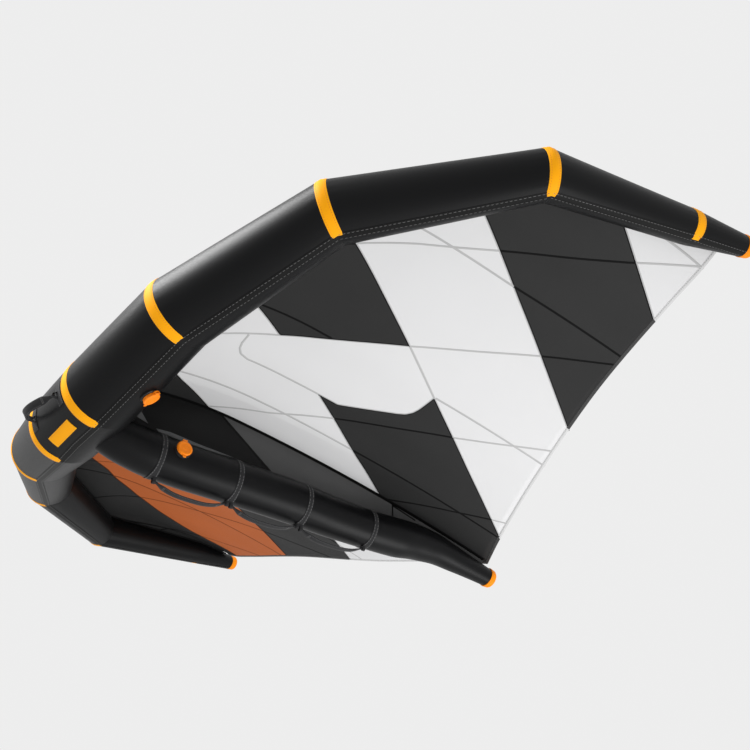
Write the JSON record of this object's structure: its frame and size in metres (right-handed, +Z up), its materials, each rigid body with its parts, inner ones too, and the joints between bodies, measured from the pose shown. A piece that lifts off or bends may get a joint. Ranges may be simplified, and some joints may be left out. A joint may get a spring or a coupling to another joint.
{
  "type": "inflatable hand-held wing",
  "caption": "Inflatable hand-held wing: segmented leading-edge tube, central strut with webbing handles, cambered canopy halves and capped inflation valves.",
  "frame": {"origin": "grip of the middle strut handle, on the middle plane, where the hands hold the wing up", "axes": "nose towards -Y, +Z up with the canopy on top and the handles below, left half of the wing on +X"},
  "size_m": [3.259, 2.0106, 0.6295],
  "materials": {
    "dacron": "satin",
    "band": "matte",
    "cap": "matte",
    "canopy": "matte",
    "hem": "matte",
    "fin": "matte",
    "fin_rear": "matte",
    "webbing": "matte",
    "bladder": "satin",
    "valve_black": "satin",
    "valve_orange": "satin",
    "valve_grey": "matte"
  },
  "bodies": {
    "wing": {"le_panel_centre": "dacron", "le_panel_left_1": "dacron", "le_panel_left_2": "dacron", "le_panel_left_3": "dacron", "le_panel_left_4": "dacron", "le_panel_left_5": "dacron", "le_panel_right_1": "dacron", "le_panel_right_2": "dacron", "le_panel_right_3": "dacron", "le_panel_right_4": "dacron", "le_panel_right_5": "dacron", "strut_casing": "dacron", "strut_tail_casing": "dacron", "le_band_left_1": "band", "le_band_left_2": "band", "le_band_left_3": "band", "le_band_left_4": "band", "le_band_left_5": "band", "le_band_right_1": "band", "le_band_right_2": "band", "le_band_right_3": "band", "le_band_right_4": "band", "le_band_right_5": "band", "le_centre_patch": "band", "tip_cap_left": "cap", "tip_cap_right": "cap", "strut_end_cap": "cap", "canopy_left": "canopy", "canopy_right": "canopy", "trailing_hem_left": "hem", "trailing_hem_right": "hem", "fin_front": "fin", "fin_rear": "fin_rear", "strut_ring_1": "webbing", "strut_ring_2": "webbing", "strut_ring_3": "webbing", "strut_ring_4": "webbing", "front_handle_tab_left": "webbing", "front_handle_tab_right": "webbing", "le_bladder": "bladder", "strut_bladder": "bladder", "le_valve_flange": "valve_black", "strut_valve_flange": "valve_black"},
    "strut_handle_1_body": {"strut_handle_1": "webbing"},
    "strut_handle_2_body": {"strut_handle_2": "webbing"},
    "strut_handle_3_body": {"strut_handle_3": "webbing"},
    "front_handle_body": {"front_handle": "webbing"},
    "le_valve_collar_body": {"le_valve_collar": "valve_orange"},
    "le_valve_cap_body": {"le_valve_cap": "valve_orange"},
    "le_valve_plunger_body": {"le_valve_plunger": "valve_grey"},
    "strut_valve_collar_body": {"strut_valve_collar": "valve_orange"},
    "strut_valve_cap_body": {"strut_valve_cap": "valve_orange"},
    "strut_valve_plunger_body": {"strut_valve_plunger": "valve_grey"}
  },
  "joints": [
    {"name": "strut_handle_1_swing", "type": "hinge", "parent": "wing", "child": "strut_handle_1_body", "pos_m": [0, -0.294, 0.032], "axis": [0, 1, 0], "range_deg": [-70, 70]},
    {"name": "strut_handle_2_swing", "type": "hinge", "parent": "wing", "child": "strut_handle_2_body", "pos_m": [0, 0, 0.028], "axis": [0, 1, 0], "range_deg": [-70, 70]},
    {"name": "strut_handle_3_swing", "type": "hinge", "parent": "wing", "child": "strut_handle_3_body", "pos_m": [0, 0.296, 0.021], "axis": [0, 1, 0], "range_deg": [-70, 70]},
    {"name": "front_handle_swing", "type": "hinge", "parent": "wing", "child": "front_handle_body", "pos_m": [0, -0.8405, 0.17086], "axis": [1, 0, 0], "range_deg": [-50, 50]},
    {"name": "le_valve_collar_twist", "type": "hinge", "parent": "wing", "child": "le_valve_collar_body", "pos_m": [0.30565, -0.61407, 0.14753], "axis": [0.149, 0.5339, -0.8323], "range_deg": [0, 90]},
    {"name": "le_valve_cap_flip", "type": "hinge", "parent": "le_valve_collar_body", "child": "le_valve_cap_body", "pos_m": [0.3379, -0.60223, 0.14383], "axis": [0.25, -0.8347, -0.4907], "range_deg": [0, 115]},
    {"name": "le_valve_plunger_push", "type": "slide", "parent": "le_valve_collar_body", "child": "le_valve_plunger_body", "axis": [-0.149, -0.5339, 0.8323], "range_m": [0, 0.0025], "stiffness_N_per_m": 120, "springref_m": -0.003},
    {"name": "strut_valve_collar_twist", "type": "hinge", "parent": "wing", "child": "strut_valve_collar_body", "pos_m": [0.07823, -0.377, 0.1368], "axis": [0.9903, 0, 0.1392], "range_deg": [0, 90]},
    {"name": "strut_valve_cap_flip", "type": "hinge", "parent": "strut_valve_collar_body", "child": "strut_valve_cap_body", "pos_m": [0.08791, -0.377, 0.16997], "axis": [0, -1, 0], "range_deg": [0, 115]},
    {"name": "strut_valve_plunger_push", "type": "slide", "parent": "strut_valve_collar_body", "child": "strut_valve_plunger_body", "axis": [-0.9903, 0, -0.1392], "range_m": [0, 0.0025], "stiffness_N_per_m": 120, "springref_m": -0.003}
  ]
}
